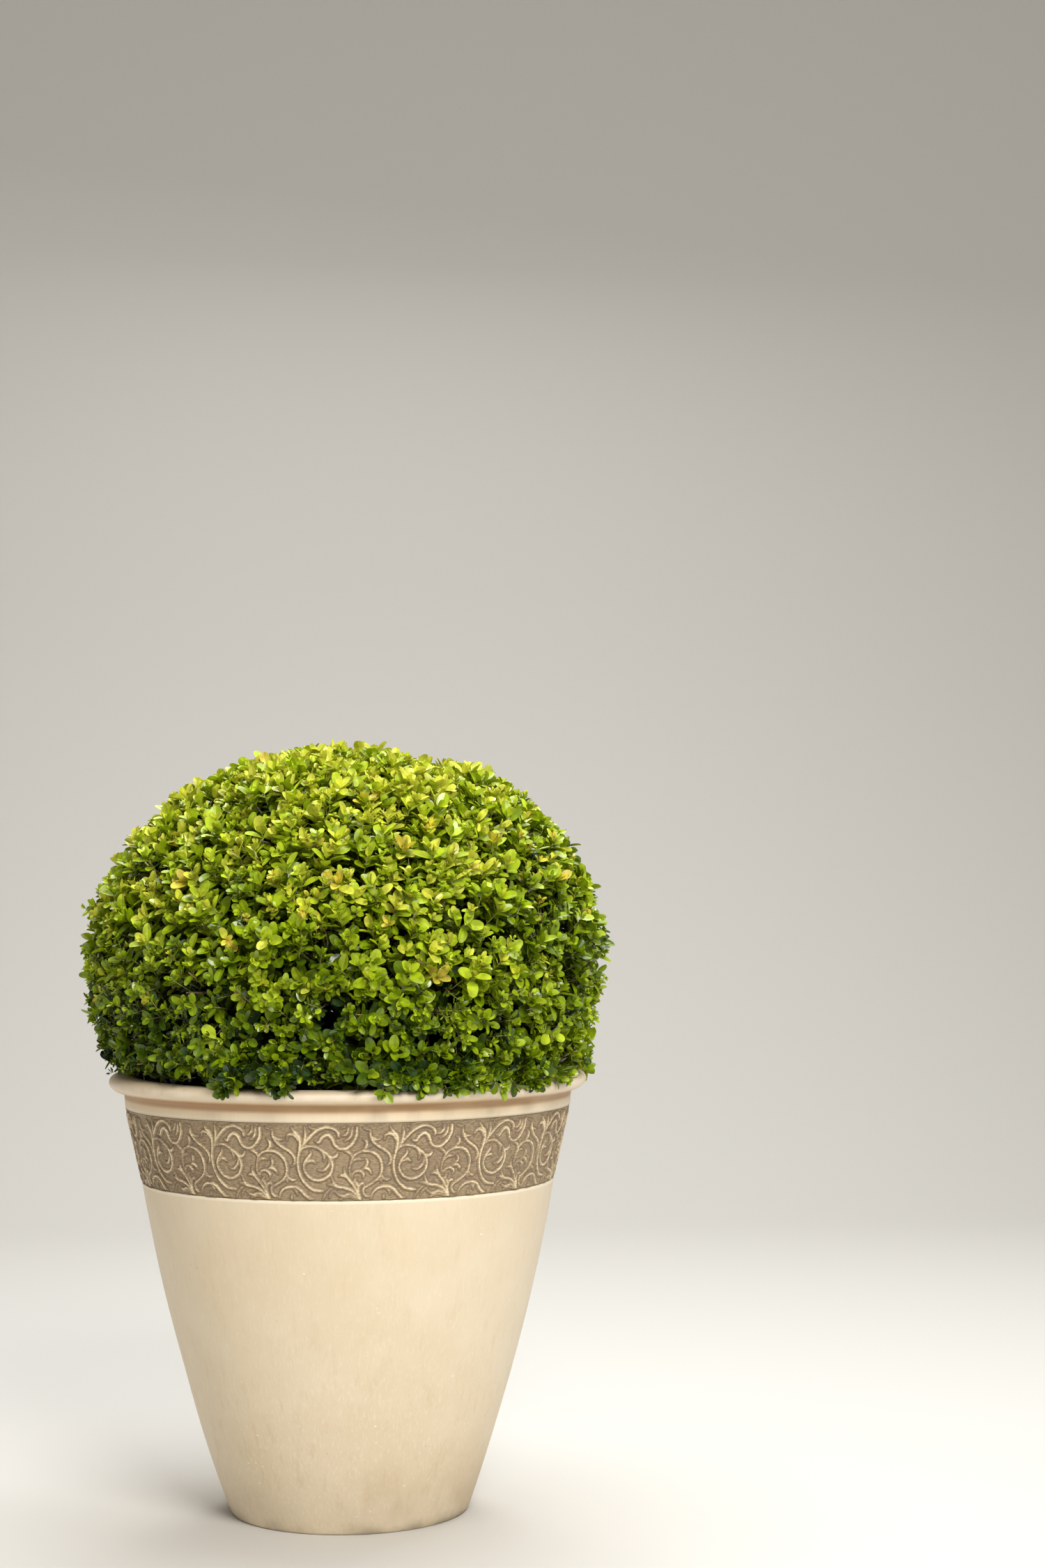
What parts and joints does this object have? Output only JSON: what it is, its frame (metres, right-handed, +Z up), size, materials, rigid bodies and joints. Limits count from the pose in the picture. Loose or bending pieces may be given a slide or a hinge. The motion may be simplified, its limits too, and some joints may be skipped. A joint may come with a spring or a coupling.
{
  "type": "potted boxwood",
  "caption": "Clipped boxwood dome growing in a tapered round planter with a rolled rim and a relief scroll band. Stands on its flat underside.",
  "frame": {"origin": "centre of the planter's flat underside", "axes": "+Z up along the planter's axis, -Y the side that the picture shows"},
  "size_m": [0.6218, 0.6116, 0.8924],
  "materials": {
    "planter": "cream satin glaze with a brown antique wash and fine pits",
    "scroll_band": "brown antique wash with cream ridges",
    "soil": "dark crumbly potting mix",
    "bark": "pale grey-brown finely ridged bark",
    "foliage": "small glossy bright green leaves"
  },
  "bodies": {
    "root": {"planter": "planter", "scroll_band": "scroll_band", "soil": "soil", "trunk": "bark", "clipped_crown": "foliage"}
  },
  "joints": []
}
